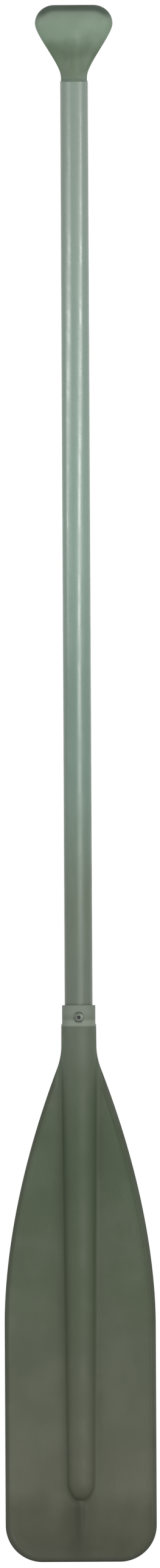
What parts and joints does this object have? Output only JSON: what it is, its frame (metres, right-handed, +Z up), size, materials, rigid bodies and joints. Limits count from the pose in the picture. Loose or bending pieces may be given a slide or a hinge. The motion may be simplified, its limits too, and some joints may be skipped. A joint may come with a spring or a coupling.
{
  "type": "canoe paddle",
  "caption": "Single-bladed canoe paddle: a moulded blade with a spine and a riveted socket, a sleeved metal tube and a moulded T-shaped palm grip.",
  "frame": {"origin": "middle of the flat edge at the tip of the blade", "axes": "+Z runs up the shaft from the blade's tip to the grip, X lies across the blade's width, and the blade's front face looks towards -Y"},
  "size_m": [0.148, 0.0346, 1.524],
  "materials": {
    "blade_plastic": "olive moulded polypropylene with a fine grain, satin",
    "grip_plastic": "sage green moulded polypropylene, satin",
    "sleeve_vinyl": "grey-green vinyl sleeve, low sheen",
    "tube_aluminium": "drawn tube, bare",
    "plug_foam": "closed-cell foam",
    "rivet_aluminium": "dulled blind rivet",
    "pin_steel": "snapped steel pin"
  },
  "bodies": {
    "root": {"grip": "grip_plastic", "shaft_sleeve": "sleeve_vinyl", "shaft_tube": "tube_aluminium", "blade": "blade_plastic", "blade_rivet_front": "rivet_aluminium", "blade_rivet_front_pin": "pin_steel", "blade_rivet_back": "rivet_aluminium", "blade_rivet_back_pin": "pin_steel", "grip_rivet": "rivet_aluminium", "grip_rivet_pin": "pin_steel", "upper_plug": "plug_foam", "lower_plug": "plug_foam"}
  },
  "joints": []
}
